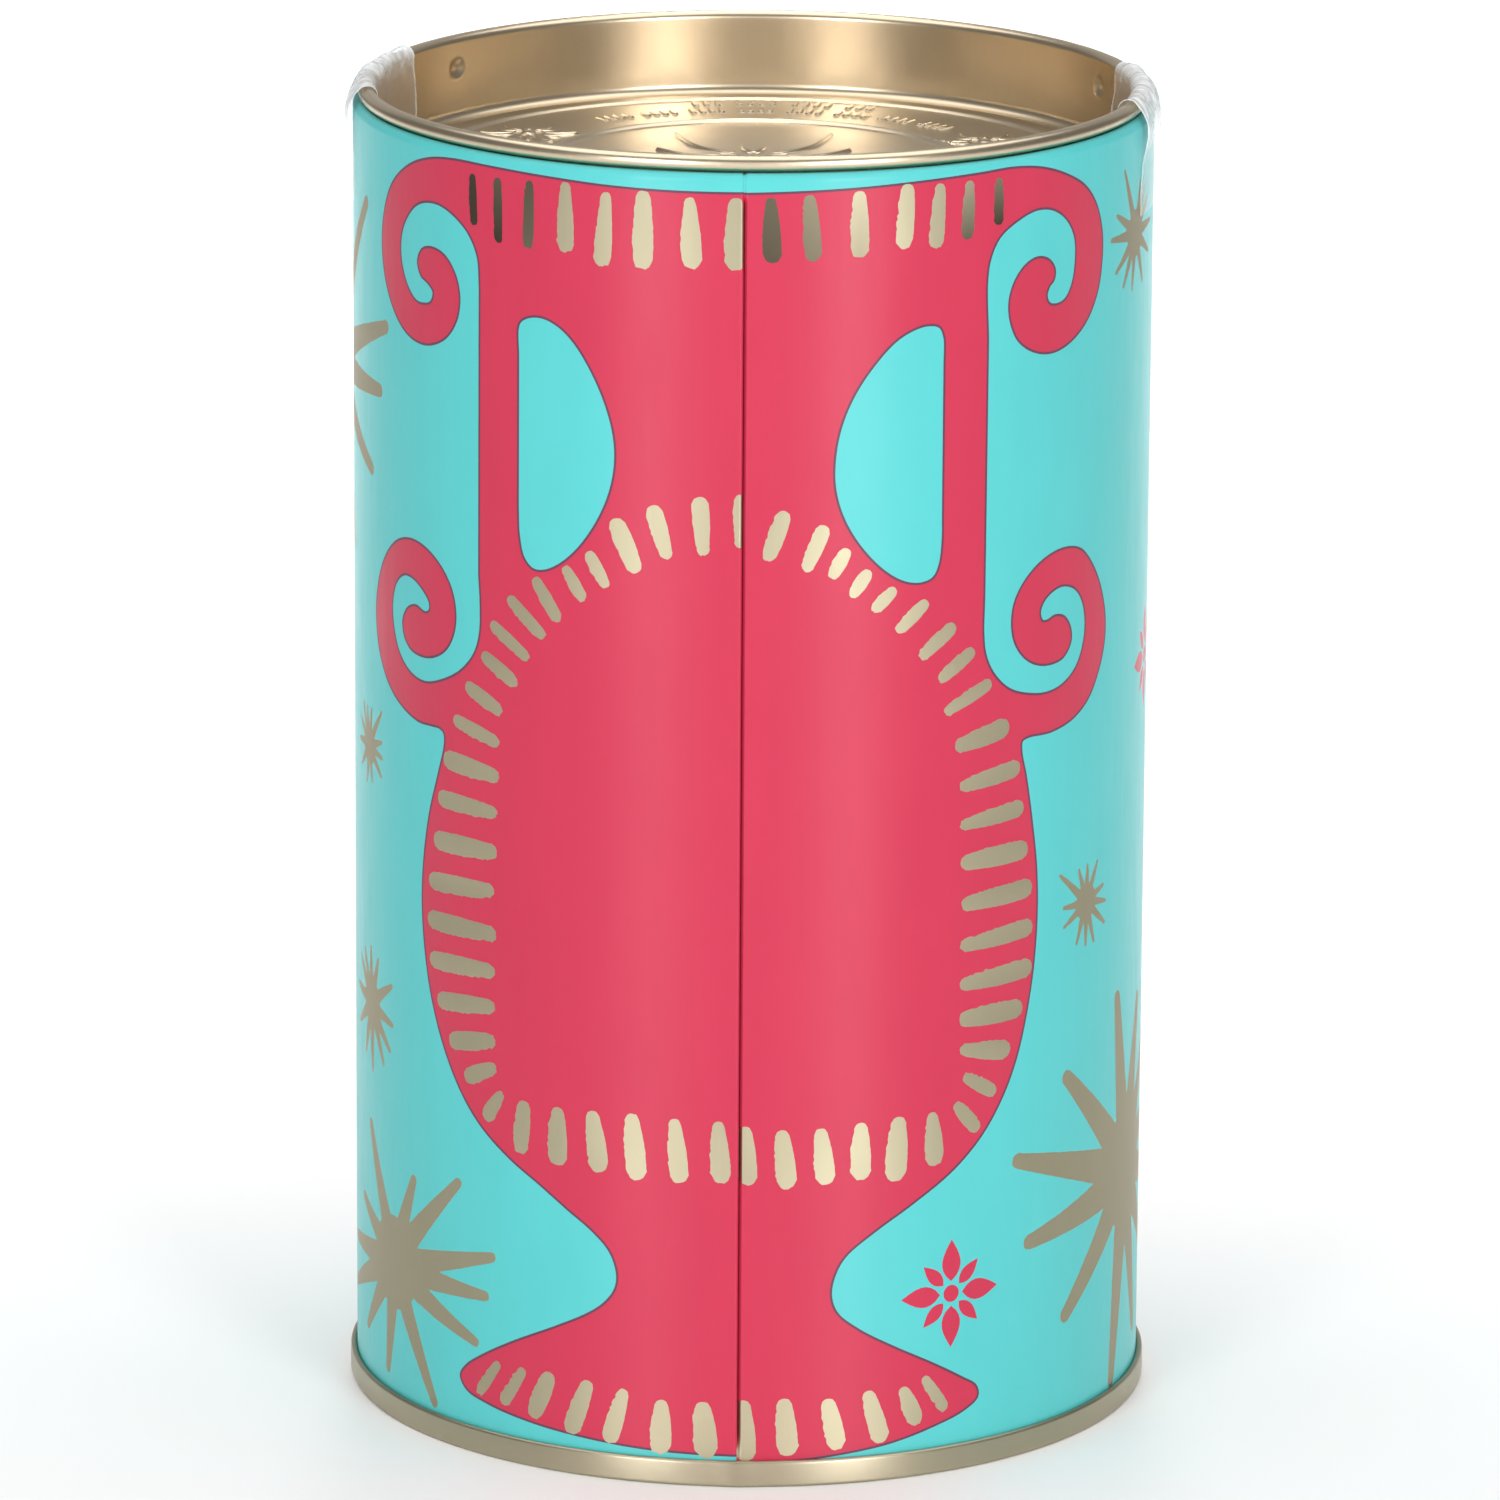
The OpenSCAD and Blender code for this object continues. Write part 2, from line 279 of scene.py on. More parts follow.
URN_LEFT = outline(
    [(0.6, 138.75), (SEAM_U, 138.75), (-8, 138.75), (-15, 138.9), (-22, 139.2), (-30, 139.45),
     (-35, 139.45), (-39, 138.9), (-43, 137.4), (-46.4, 134.9), (-48.3, 131.7), (-48.9, 128.3),
     (-48.2, 124.9), (-46.4, 122.1), (-44, 120.1), (-41.5, 119.2), (-38.8, 119.2), (-36, 120.4),
     (-34.3, 122.5), (-33.8, 124.9), (-34.4, 127.2), (-36, 129), (-38.2, 129.6), (-40.1, 129.1),
     (-40.9, 127.7), (-40.3, 126.3), (-39, 125.7), (-38.1, 124.9), (-38.5, 123.8), (-39.6, 123.4),
     (-41.3, 123.5), (-43.1, 125), (-44.2, 127.3), (-44.2, 129.8), (-43, 132), (-40.8, 133.8),
     (-37.9, 134.4), (-35.2, 133.8), (-32.6, 132.1), (-31.2, 129.8), (-30.9, 127), (-30.9, 123)],
    [(-30.9, 123), (-31, 96)],
    [(-31, 96), (-30.8, 93), (-30.9, 89.7), (-31.7, 87.4), (-33.6, 85.3), (-36.5, 83.7), (-39.8, 82.8),
     (-42.8, 83.4), (-45.1, 85.2), (-46.3, 87.9), (-46.4, 90.3), (-45.5, 92.4), (-43.8, 93.6),
     (-42, 93.6), (-40.2, 92.8), (-38.9, 91.6), (-38.9, 90.7), (-39.7, 90.35), (-41.4, 90.75),
     (-43.1, 90.1), (-44.1, 88.6), (-43.8, 87), (-42.6, 85.9), (-40.6, 85.5), (-38.3, 85.8), (-36.1, 87),
     (-34.8, 89), (-34.5, 91.3), (-35.2, 93.8), (-37.1, 96), (-39.8, 97.4), (-42.6, 97.7), (-45.4, 96.9),
     (-48.2, 94.7), (-50.2, 91.6), (-51, 88.2), (-50.4, 84.8), (-48.4, 81.8), (-45.4, 79.7),
     (-41.2, 78.35), (-38.5, 78.35), (-37.1, 78.35), (-36.4, 77.9), (-36.3, 76.8), (-37.3, 73.5),
     (-38.9, 68.8), (-39.9, 64), (-40.3, 59.3), (-39.9, 54.3), (-38.8, 49.3), (-36.8, 44.3), (-34, 39.7),
     (-31, 36.4), (-27, 33.5), (-23, 31.2), (-19.5, 28.9), (-16.6, 26.9), (-14.7, 24.9), (-13.9, 22.6),
     (-14.1, 20.9), (-15.2, 19.3), (-17, 17.9), (-21, 15.8), (-26, 13.4), (-30.2, 11.1), (-33, 9.2),
     (-33.9, 7.9), (-33, 6.6), (-30, 5.7), (-24, 4.75), (-17, 4.05), (-10, 3.55), (SEAM_U, 3.3),
     (0.6, 3.3)])

URN_RIGHT = outline(
    [(-2.2, 2.5), (SEAM_U, 2.5), (4, 2.6), (9.5, 3.1), (15.5, 3.9), (20.5, 5.1), (24.3, 6.3), (26.1, 7.5),
     (25.9, 8.7), (24, 10), (20.2, 12.2), (16, 14.4), (12, 16.7), (9.6, 18.7), (8.9, 20.6), (9.2, 22.7),
     (10.4, 24.9), (13.6, 27.4), (18, 30.1), (22.8, 33.2), (26.4, 36.5), (29, 40.1), (30.9, 44),
     (32.3, 48.7), (33.3, 54), (33.7, 59.5), (33.5, 64.5), (32.7, 69.8), (31.8, 74.5), (31.1, 77.3),
     (31.2, 78.4), (32.1, 78.7), (35.5, 78.65), (39.3, 79.4), (42.2, 81), (44.2, 83.5), (45.4, 86.2),
     (45.6, 88.8), (44.7, 92), (42.9, 95), (40.4, 97.4), (37.4, 98.1), (34.2, 97.5), (31.5, 95.8),
     (29.9, 93.6), (29.5, 91.4), (29.9, 89.3), (31.2, 87.5), (33, 86.4), (35.3, 86), (37.5, 86.4),
     (38.7, 87.8), (38.6, 89.3), (37.5, 90.7), (36, 91.1), (34.8, 90.8), (34, 90.85), (33.6, 91.8),
     (34.1, 92.9), (35.5, 93.8), (37.2, 94.1), (39.3, 93.4), (40.7, 91.8), (41.3, 89.6), (41, 87.2),
     (39.7, 84.9), (37.5, 83.5), (35, 83), (32.2, 83.3), (29.3, 84.3), (27.2, 86.2), (26.1, 88.3),
     (25.75, 90.5), (25.8, 95)],
    [(25.8, 95), (25.9, 122)],
    [(25.9, 122), (25.7, 128), (26.1, 130.5), (27.3, 132.6), (29.5, 134), (32.3, 134.85), (34.9, 134.5),
     (37.1, 133.1), (38.4, 131.1), (38.6, 128.7), (38.1, 126.3), (37, 124.8), (35.6, 124.4),
     (34.4, 124.7), (34, 125.6), (34.4, 126.5), (35.1, 127.1), (35.2, 128.2), (34.3, 129.3),
     (32.6, 129.8), (30.8, 129.2), (29.3, 127.6), (28.6, 125.5), (28.9, 123.3), (30, 121.3),
     (32.2, 119.9), (34.9, 119.4), (38, 120.1), (40.9, 121.9), (42.9, 124.6), (43.7, 127.6),
     (43.7, 130.6), (42.6, 133.6), (40.5, 136), (37, 137.9), (33, 139.2), (29, 139.7), (25, 139.6),
     (18, 139.35), (11, 139.05), (5, 138.85), (SEAM_U, 138.7), (-2.2, 138.7)])

WINDOW_LEFT = outline(
    [(-25.75, 104), (-25.6, 101), (-25, 98.7), (-23.9, 97.65), (-22.6, 97.6), (-20.8, 98.4),
     (-18.6, 100.3), (-16.5, 103.2), (-15, 106.5), (-14.35, 109.8), (-14.5, 112.8), (-15.4, 116),
     (-16.9, 119.2), (-18.8, 122), (-20.6, 123.6), (-22.6, 124.4), (-24.3, 124.3), (-25.4, 123.7),
     (-25.75, 122.9), (-25.7, 120)])

WINDOW_RIGHT = outline(
    [(20.6, 104), (20.6, 101.5), (20.3, 98.9), (19.6, 97.5), (18.3, 97), (16.5, 97.2), (14.3, 98.4),
     (11.7, 101), (9.7, 104.2), (8.7, 107.4), (8.6, 110.6), (9.2, 114), (10.5, 117.2), (12.5, 120.2),
     (15, 122.8), (17, 123.9), (18.7, 124.25), (20, 123.95), (20.55, 122.8), (20.6, 120)])

# Brush strokes: both ends, then the width at each. The rim's also hold a painted reflection: how bright the
# metal is painted at each end, darker where it would mirror the dark room.
RIM_STROKES = [
    (-31.9, 138.0, -31.7, 133.4, 0.9, 1.0, 0.12, 0.10),
    (-28.4, 138.0, -28.3, 132.0, 1.0, 1.0, 0.30, 0.08),
    (-24.3, 138.2, -24.5, 132.0, 1.0, 1.3, 0.24, 0.36), (-20.0, 138.4, -20.0, 132.4, 1.2, 1.9, 0.95, 1.0),
    (-15.4, 137.8, -15.8, 131.3, 1.1, 1.9, 0.9, 0.9), (-11.4, 138.0, -11.4, 131.4, 1.6, 2.1, 0.8, 0.85),
    (-6.5, 137.7, -6.3, 131.7, 1.2, 2.2, 0.9, 0.95), (-1.75, 137.6, -1.7, 131.7, 1.6, 2.4, 0.85, 0.9),
    (1.8, 137.8, 2.0, 132.3, 1.2, 1.9, 0.22, 0.14), (5.8, 138.0, 6.2, 132.4, 1.3, 1.8, 0.42, 0.28),
    (11.0, 138.2, 11.1, 132.6, 1.4, 1.9, 0.85, 0.6), (16.2, 138.6, 15.9, 133.2, 1.5, 1.8, 0.95, 1.0),
    (19.9, 138.5, 19.5, 132.9, 1.2, 1.7, 1.0, 0.95), (23.4, 138.5, 23.2, 133.5, 1.1, 1.5, 1.0, 0.3),
    (27.1, 138.5, 27.1, 134.4, 0.9, 1.2, 0.6, 0.1)]

LEFT_STROKES = [
    (-1.1, 106.6, -1.1, 102.0, 1.2, 1.0), (-5.3, 106.1, -5.0, 101.2, 1.6, 1.1),
    (-10.1, 105.0, -8.8, 100.6, 1.6, 1.1), (-14.1, 103.3, -12.2, 99.1, 1.7, 1.5),
    (-17.1, 99.8, -15.5, 97.1, 1.1, 1.0), (-19.8, 98.0, -18.1, 95.4, 1.0, 1.1),
    (-23.4, 96.3, -21.0, 92.9, 1.1, 1.2), (-26.6, 93.9, -22.9, 90.8, 1.1, 1.1),
    (-28.9, 90.8, -24.8, 88.2, 1.1, 1.0), (-30.1, 87.3, -26.4, 85.3, 1.2, 1.3),
    (-32.4, 83.6, -28.4, 81.9, 1.3, 1.3), (-34.3, 79.7, -28.8, 78.4, 1.2, 1.2),
    (-35.6, 75.2, -28.9, 74.7, 1.9, 1.4), (-36.6, 70.8, -29.1, 70.7, 1.7, 1.2),
    (-37.3, 66.1, -29.2, 66.4, 1.9, 1.5), (-38.2, 61.5, -29.6, 62.1, 1.8, 1.4),
    (-38.4, 57.2, -29.3, 57.5, 1.9, 1.4), (-38.1, 52.9, -29.5, 53.4, 1.7, 1.4),
    (-36.8, 48.7, -29.5, 49.5, 1.7, 1.4), (-34.8, 44.7, -29.4, 45.8, 1.8, 1.4),
    (-32.5, 41.3, -29.2, 42.8, 1.6, 1.2), (-29.8, 37.6, -28.1, 40.0, 1.5, 1.0)]

RIGHT_STROKES = [
    (25.4, 37.4, 23.2, 39.9, 1.3, 1.1), (27.5, 41.0, 24.3, 42.9, 1.3, 1.0),
    (29.1, 45.2, 23.9, 46.0, 1.9, 1.1), (30.8, 49.4, 24.0, 49.4, 1.9, 1.6),
    (32.1, 53.6, 23.9, 53.2, 1.9, 1.3), (32.2, 58.0, 23.8, 57.4, 1.8, 1.2),
    (32.0, 62.3, 24.0, 61.9, 1.9, 1.4), (31.3, 66.6, 23.9, 66.4, 1.9, 1.5),
    (30.7, 71.2, 23.6, 70.5, 1.7, 1.0), (30.1, 75.6, 23.6, 74.7, 1.7, 1.2),
    (28.4, 80.2, 22.9, 79.1, 2.0, 1.3), (26.3, 85.2, 21.5, 83.1, 1.2, 1.0),
    (24.1, 88.9, 20.8, 86.7, 1.2, 1.1), (21.7, 91.8, 18.5, 89.4, 1.3, 1.1),
    (18.5, 94.7, 15.9, 92.4, 1.1, 1.1), (14.9, 96.4, 13.2, 94.8, 1.0, 1.1),
    (12.1, 98.4, 10.8, 96.6, 1.1, 1.1), (9.8, 100.8, 8.6, 98.7, 1.1, 1.1),
    (7.4, 103.2, 5.8, 99.5, 1.4, 1.1), (3.3, 104.8, 1.9, 100.8, 1.4, 1.3)]

LOW_STROKES = [
    (-25.0, 39.3, -25.4, 34.9, 1.5, 1.6), (-20.8, 39.3, -20.8, 34.5, 1.4, 2.0),
    (-16.7, 39.5, -16.0, 34.4, 1.3, 2.0), (-12.3, 39.6, -11.8, 34.0, 1.4, 2.0),
    (-7.7, 39.5, -7.2, 33.9, 1.1, 1.8), (-3.1, 39.4, -2.8, 34.1, 1.1, 1.9),
    (-0.3, 38.8, 0.0, 33.9, 1.3, 1.8), (3.6, 38.4, 4.1, 33.5, 1.3, 1.9), (7.7, 38.5, 8.2, 33.8, 1.2, 1.9),
    (12.0, 38.8, 12.0, 34.1, 1.3, 2.0), (16.2, 39.0, 15.9, 33.7, 1.5, 2.2),
    (20.1, 39.2, 20.4, 34.8, 1.1, 2.0)]

FOOT_STROKES = [
    (-28.5, 10.2, -30.9, 6.9, 0.7, 0.9), (-25.2, 10.1, -27.5, 6.5, 0.8, 1.1),
    (-21.9, 9.9, -23.6, 6.0, 1.5, 1.6), (-17.3, 9.8, -19.0, 5.1, 1.2, 1.7),
    (-13.2, 9.4, -14.6, 4.6, 1.0, 1.6), (-9.0, 8.5, -9.1, 4.1, 1.2, 2.0),
    (-4.6, 8.4, -4.2, 3.9, 1.5, 2.1), (-0.3, 8.8, -0.1, 3.7, 1.2, 2.0), (4.0, 8.9, 4.4, 4.2, 1.3, 1.9),
    (8.7, 8.7, 9.6, 4.5, 1.3, 1.7), (13.1, 9.3, 14.4, 4.9, 1.2, 1.7), (17.1, 9.4, 18.4, 6.3, 1.0, 1.6),
    (19.6, 10.4, 21.8, 7.1, 0.7, 1.0)]

# Starbursts: the middle, the core's radius, the rays' width at the middle and at the tip, and the tips.
STARS = [
    (-46.5, 17.3, 5.2, 3.6, 1.15,
     [(-34.2, 29.2), (-29.2, 22.0), (-30.1, 17.5), (-31.6, 12.1), (-38.2, 3.7), (-48.2, 4.9), (-55, 7.8),
      (-62.5, 10.5), (-62, 16), (-56.5, 22), (-53.5, 31), (-42.1, 27.7)]),
    (53.5, 26.5, 6.6, 5.0, 1.7,
     [(39, 40.2), (50.3, 46.3), (31.2, 32.6), (33, 23.2), (39.2, 13.6), (50, 3.4), (59, 7), (67, 13),
      (70, 22), (70, 31), (66, 40), (59, 44)]),
    (-72.7, 111.4, 6.5, 4.4, 1.5,
     [(-54, 131.6), (-47.9, 119.4), (-49.6, 112.2), (-52.3, 103.2), (-62, 93), (-73, 89.5), (-83, 99),
      (-92, 106), (-94, 115), (-86, 120.5), (-80, 132), (-66, 133)]),
    (42.3, 58.7, 2.0, 1.3, 0.42,
     [(37.4, 62.6), (38.1, 58.9), (38.2, 56.8), (40.5, 54.5), (42.3, 54.0), (44.0, 54.0), (46.4, 55.5),
      (46.6, 57.9), (46, 59.8), (44.6, 62.7), (42.5, 62.7), (40.8, 62.5)]),
    (-53.6, 72.8, 2.1, 1.4, 0.45,
     [(-49.5, 77.3), (-49.5, 74), (-49.4, 72.3), (-49.6, 70.2), (-52.6, 69), (-54.6, 68.6), (-57, 70),
      (-58, 72.6), (-57.4, 75), (-56, 77), (-54.4, 76.9), (-52.7, 76.9)]),
    (-53, 44.5, 2.7, 2.0, 0.6,
     [(-47, 47.8), (-46.8, 43.5), (-47.5, 40.5), (-49.2, 38.6), (-52.8, 37), (-55.6, 38.4), (-58.6, 41),
      (-59.5, 45), (-57.8, 48.6), (-55.8, 49.7), (-53.3, 50.5), (-50.8, 49.8)]),
    (52.6, 129, 2.6, 1.7, 0.5,
     [(49, 136.2), (47.1, 131.8), (45.8, 129.4), (47, 125.7), (49, 123.9), (51.6, 123.1), (55.6, 123.3),
      (58.4, 126), (59.5, 129.2), (57.6, 132), (54.2, 134.3), (56, 133.3)])]

# Where the unseen back has starbursts too, as the middle, the rays' length and their number.
BACK_STARS = [(85, 17, 12.5, 12), (-82, 27, 14, 12), (70, 58, 5.5, 11), (71, 108, 10.5, 12),
              (-74, 68, 5, 11), (-70, 84, 3.5, 10)]
SPARE_SHAPE = (0.34, 0.25, 0.08)         # their core, ray root and ray tip, over the rays' length
RAY_LENGTHS = (0.78, 1.05)               # the shortest and the longest ray, over the same length
RAY_WANDER = 9                           # how far rays stray from even spacing, in degrees

# The middles of the leaf flowers: two in front and two on the back.
FLOWERS = [(22.6, 19.5), (60.6, 81.5), (156, 19.5), (-86, 52)]
FLOWER_LEAVES = [(4.6, 2.3), (3.4, 1.5)]    # length and width, by turns
FLOWER_GAP, FLOWER_EYE = 1.35, 0.95      # how far out the leaves start, and the eye's radius


def star(u, z, core, root, tip, ends):
    return [disc(u, z, core)] + [stroke(u, z, a, b, root, tip, rough=0.02, belly=0) for a, b in ends]


def spare_star(u, z, length, count):
    turn = rng.uniform(0, 360)
    ends = []
    for i in range(count):
        a = math.radians(turn + 360 * i / count + rng.uniform(-RAY_WANDER, RAY_WANDER))
        r = length * rng.uniform(*RAY_LENGTHS)
        ends.append((u + r * math.cos(a), z + r * math.sin(a)))
    return star(u, z, *(length * share for share in SPARE_SHAPE), ends)


def flower(u, z):
    leaves = [leaf(u, z, 90 + 45 * i, *FLOWER_LEAVES[i % 2], start=FLOWER_GAP) for i in range(8)]
    return leaves + [disc(u, z, FLOWER_EYE, 20)]


# ---------------------------------------------------------------- the printed wall

SHEET_START, SHEET_END = SEAM_U, SEAM_U + ROUND
HOOK_R = PITCH + SHEET / 2
UNDER, OVER = 0.35, 0.75                 # how far the print runs on, under the fold and round it
SLOPE_W = 0.55                           # the width of the slope that drops the sheet into the fold
FOLD_START = (3.6, 6.0)                  # the heights between which the fold deepens, at the bottom
FOLD_END = (137.4, 138.6)                # and those between which it runs out again, at the top
FLAT_LAP = 0.25                          # how much of the slope is left beyond them
WALL_LOW = 1.0
CURL_SWEEP = math.radians(290)
WALL_HIGH = CURL_Z + CURL_R * CURL_SWEEP
TRAP = 0.13                              # half the width of the dark line where the two inks overlap
# the stars' metal is painted a little darker all over, towards the painted dark reflection
STAR_TONE = (0.86, 0.86)
STROKE_TONES = (0.92, 1.05)
STROKE_EXTRA, FOOT_EXTRA = 0.2, 0.3      # added to the widths of the belly's strokes, and of the foot's
SLOPE_CUTS = (0, 0.08, 0.16, 0.24, 0.32, 0.4, 0.48, 0.56, 0.7)    # where lines bend the sheet at the seam
HOOK_CUTS = (0, 12, 24, 36, 48, 60, 72, 84, 96, 115, 140)         # and round the hook, in degrees
POINT_MERGE = 1e-3                       # points of the print nearer than this become one


def wall_place(u, s):
    """Where a point of the flat printed sheet lies on the rolled wall.

    u runs round the wall, and s runs up it and on over the curl.
    """
    lap = FLAT_LAP + (1 - FLAT_LAP) * ramp(s, *FOLD_START) * (1 - ramp(s, *FOLD_END))
    w = np.clip((u - SHEET_START) / SLOPE_W, 0, 1)
    slope = 1.5 * PITCH * (1 + np.cos(math.pi * w)) * lap
    h = np.clip((u - (SHEET_END - PITCH)) / HOOK_R, 0, None)
    hook = HOOK_R * (1 - np.cos(h))
    along = np.where(h > 0, SHEET_END - PITCH + HOOK_R * np.sin(h), u)
    depth = np.where(u < SHEET_START + 1, slope, hook)
    a = np.clip((s - CURL_Z) / CURL_R, 0, None)
    lean, rise = np.cos(a), np.sin(a)
    r = np.where(a > 0, BODY_R - CURL_R + CURL_R * lean, BODY_R) - depth * lean
    z = np.where(a > 0, CURL_Z + CURL_R * rise, s) - depth * rise
    theta = along / BODY_R
    return np.stack([r * np.sin(theta), -r * np.cos(theta), z], -1)


def wall_normal(u, s, e=0.004):
    n = np.cross(wall_place(u + e, s) - wall_place(u - e, s), wall_place(u, s + e) - wall_place(u, s - e))
    return n / np.linalg.norm(n, axis=1)[:, None]


def print_shapes():
    """Closed outlines in printing order, each with its ink and how bright its metal is painted at its top and
    bottom: a painted reflection on the rim strokes and stars, a random tone on the other strokes.
    """
    shapes = []

    def add(ink, p, reflection_and_tone=(1.0, 1.0)):
        shapes.append((ink, anticlockwise(p), reflection_and_tone))

    half = ROUND / 2
    urns = [(URN_LEFT, ROUND), (URN_RIGHT, 0), (URN_LEFT, half), (URN_RIGHT, half)]
    windows = [(WINDOW_LEFT, ROUND), (WINDOW_RIGHT, 0), (WINDOW_LEFT, half), (WINDOW_RIGHT, half)]
    for ink, edge, parts in (("trap", TRAP, urns), ("rose", -TRAP, urns),
                             ("trap", TRAP, windows), ("teal", -TRAP, windows)):
        for p, shift in parts:
            add(ink, grown(p, edge) + (shift, 0))
    for s in RIM_STROKES:
        for shift in (ROUND if s[0] < SEAM_U else 0, half):
            add("gold", stroke(*s[:6]) + (shift, 0), s[6:])
    for s in LEFT_STROKES + RIGHT_STROKES + LOW_STROKES + FOOT_STROKES:
        left = s[0] < SEAM_U or s in LEFT_STROKES
        for shift in (ROUND if left else 0, half):
            extra = FOOT_EXTRA if s in FOOT_STROKES else STROKE_EXTRA
            brushed = stroke(*s[:4], s[4] + extra, s[5] + extra) + (shift, 0)
            add("gold", brushed, rng.uniform(*STROKE_TONES, 2))
    for s in STARS:
        for p in star(*s):
            add("gold", p + (ROUND if s[0] < 0 else 0, 0), STAR_TONE)
    for s in BACK_STARS:
        for p in spare_star(*s):
            add("gold", p + (ROUND if s[0] < 0 else 0, 0), STAR_TONE)
    for u, z in FLOWERS:
        for p in flower(u, z):
            add("rose", p + (ROUND if u < 0 else 0, 0))
    return shapes


def printed_wall(inks):
    """One skin over the whole outside, cut along the print's edges so that each ink has its own faces."""
    names = ["teal", "rose", "trap", "gold"]
    shapes = print_shapes()
    points, edges, faces = [], [], []

    def line(a, b):
        edges.append((len(points), len(points) + 1))
        points.extend([a, b])

    lo, hi = SHEET_START - UNDER, SHEET_END + OVER
    for u in [lo, hi, *np.arange(SHEET_START + 2, SHEET_END - 1, 2)]:
        line((u, WALL_LOW), (u, WALL_HIGH))
    for w in SLOPE_CUTS:
        line((SHEET_START + w, WALL_LOW), (SHEET_START + w, WALL_HIGH))
    for a in np.radians(HOOK_CUTS):
        u = SHEET_END - PITCH + HOOK_R * a
        line((u, WALL_LOW), (u, WALL_HIGH))
    for s in [WALL_LOW, WALL_HIGH, *(CURL_Z + CURL_R * np.radians(np.arange(0, 285, 15)))]:
        line((lo, s), (hi, s))
    for s in np.concatenate([np.linspace(*FOLD_START, 5), np.linspace(*FOLD_END, 5)]):
        line((lo, s), (SHEET_START + 1, s))
    for _, p, _ in shapes:
        faces.append(list(range(len(points), len(points) + len(p))))
        points.extend(map(tuple, p))

    flat = [Vector(p) for p in points]
    verts, _, tris, _, _, owners = delaunay_2d_cdt(flat, edges, faces, 0, POINT_MERGE)
    uv = np.array([(v.x, v.y) for v in verts])
    kept, index, reflection_and_tone = [], [], np.ones(len(uv))
    for tri, owner in zip(tris, owners):
        c = uv[list(tri)].mean(0)
        if not (lo < c[0] < hi and WALL_LOW < c[1] < WALL_HIGH):
            continue
        ink, p, bright = shapes[max(owner)] if owner else ("teal", None, None)
        # the gold's painted reflection and tone, blended from the top of its outline to its bottom
        if ink == "gold":
            reflection_and_tone[list(tri)] = np.interp(uv[list(tri), 1], (p[:, 1].min(), p[:, 1].max()), bright[::-1])
        kept.append(tri)
        index.append(names.index(ink))
    used = sorted({i for t in kept for i in t})
    place = {old: new for new, old in enumerate(used)}
    uv, reflection_and_tone = uv[used], reflection_and_tone[used]
    kept = [[place[i] for i in t] for t in kept]
    obj = make("printed_wall", wall_place(uv[:, 0], uv[:, 1]), kept, [inks[n] for n in names], index,
               wall_normal(uv[:, 0], uv[:, 1]))
    obj.data.attributes.new("reflection_and_tone", "FLOAT", "POINT").data.foreach_set("value", reflection_and_tone.astype(np.float32))
    return obj


# ---------------------------------------------------------------- the rest of the metal

def near_seam(count=FACETS, before=5.0, after=2.0, step=0.25):
    """Angles round the axis from +X, closer together over the side seam."""
    fine = (np.arange(SEAM_U - before, SEAM_U + after, step)) / BODY_R - math.pi / 2
    a = even_angles(count)
    front = (a - 1.5 * math.pi) * BODY_R
    a = a[(front < SEAM_U - before) | (front > SEAM_U + after)]
    return np.sort(np.concatenate([a, fine % (2 * math.pi)]))


def front_u(a):
    """Distance round the wall from straight ahead, for an angle from +X."""
    return ((a + math.pi / 2 + math.pi) % (2 * math.pi) - math.pi) * BODY_R


def ramp(x, a, b):
    t = np.clip((x - a) / (b - a), 0, 1)
    return t * t * (3 - 2 * t)


RIDGE_LEFT, RIDGE_RIGHT = (-4.0, -3.75), (0, 0.8)      # where the fold's ridge rises and falls, from the seam
RIDGE_BOTTOM, RIDGE_TOP = (3.6, 5.4), (138.2, 139.0)   # and the heights between which it does
SWELL, SWELL_W = 0.14, 1.9               # how far the base ring swells over the seam, and how widely


def mouth_lining(metal):
    """The gold inside of the body: the wall, the folded seam's ridge and the hollow of the mouth's curl."""
    inner = BODY_R - SHEET
    path = [(inner, z) for z in (WALL_LOW, 3.4, 4.4, 5.4, 138.2, 138.7, 139.2)]
    path += arc(BODY_R - CURL_R, CURL_Z, CURL_R - SHEET, 0, 290, 20)
    path += arc(BODY_R - CURL_R, CURL_Z, CURL_R, 290, 290, 1)[:1]

    def ridge(a, r, z):
        v = front_u(a) - SEAM_U
        across = ramp(v, *RIDGE_LEFT) * (1 - ramp(v, *RIDGE_RIGHT))
        up = ramp(z, *RIDGE_BOTTOM) * (1 - ramp(z, *RIDGE_TOP))
        return r - 3 * PITCH * across * up * (r > inner - 0.01), z

    return revolve("mouth_lining", path[::-1], [metal], near_seam(), closed=False, warp=ridge)


def base_pan(metal):
    chuck = BODY_R - SHEET / 2 - PITCH
    cover, body_hook, wall = chuck + 2 * PITCH, chuck + 3 * PITCH, chuck + 4 * PITCH
    turn_z = BASE_SEAM_TOP - PITCH - SHEET / 2
    corner, foot = 0.3, 0.3 + SHEET / 2
    panel_z = 3.1
    path = [(0, panel_z), (20, panel_z), (37.2, panel_z)]
    path += arc(37.5, panel_z + 0.4, 0.4, -80, -30, 4)
    path += [(chuck - 2.6, 4.35)] + arc(chuck - 1, 3.5, 1, 95, 0, 12)
    path += arc(chuck + corner, foot, corner, -180, -90, 6) + arc(wall - corner, foot, corner, -90, 0, 8)
    path += arc(body_hook, turn_z, PITCH, 0, 180, 16) + [(cover, 1.0)]

    def swell(a, r, z):
        """The seam's extra layers push the ring out a little where the side seam runs into it."""
        v = front_u(a) - SEAM_U
        return r + SWELL * np.exp(-(v / SWELL_W) ** 2) * ramp(r, body_hook - 0.2, wall + 0.05), z

    angles = near_seam(before=6, after=5, step=0.5)
    return weld(revolve("base_pan", ribbon(path), [metal], angles, warp=swell))


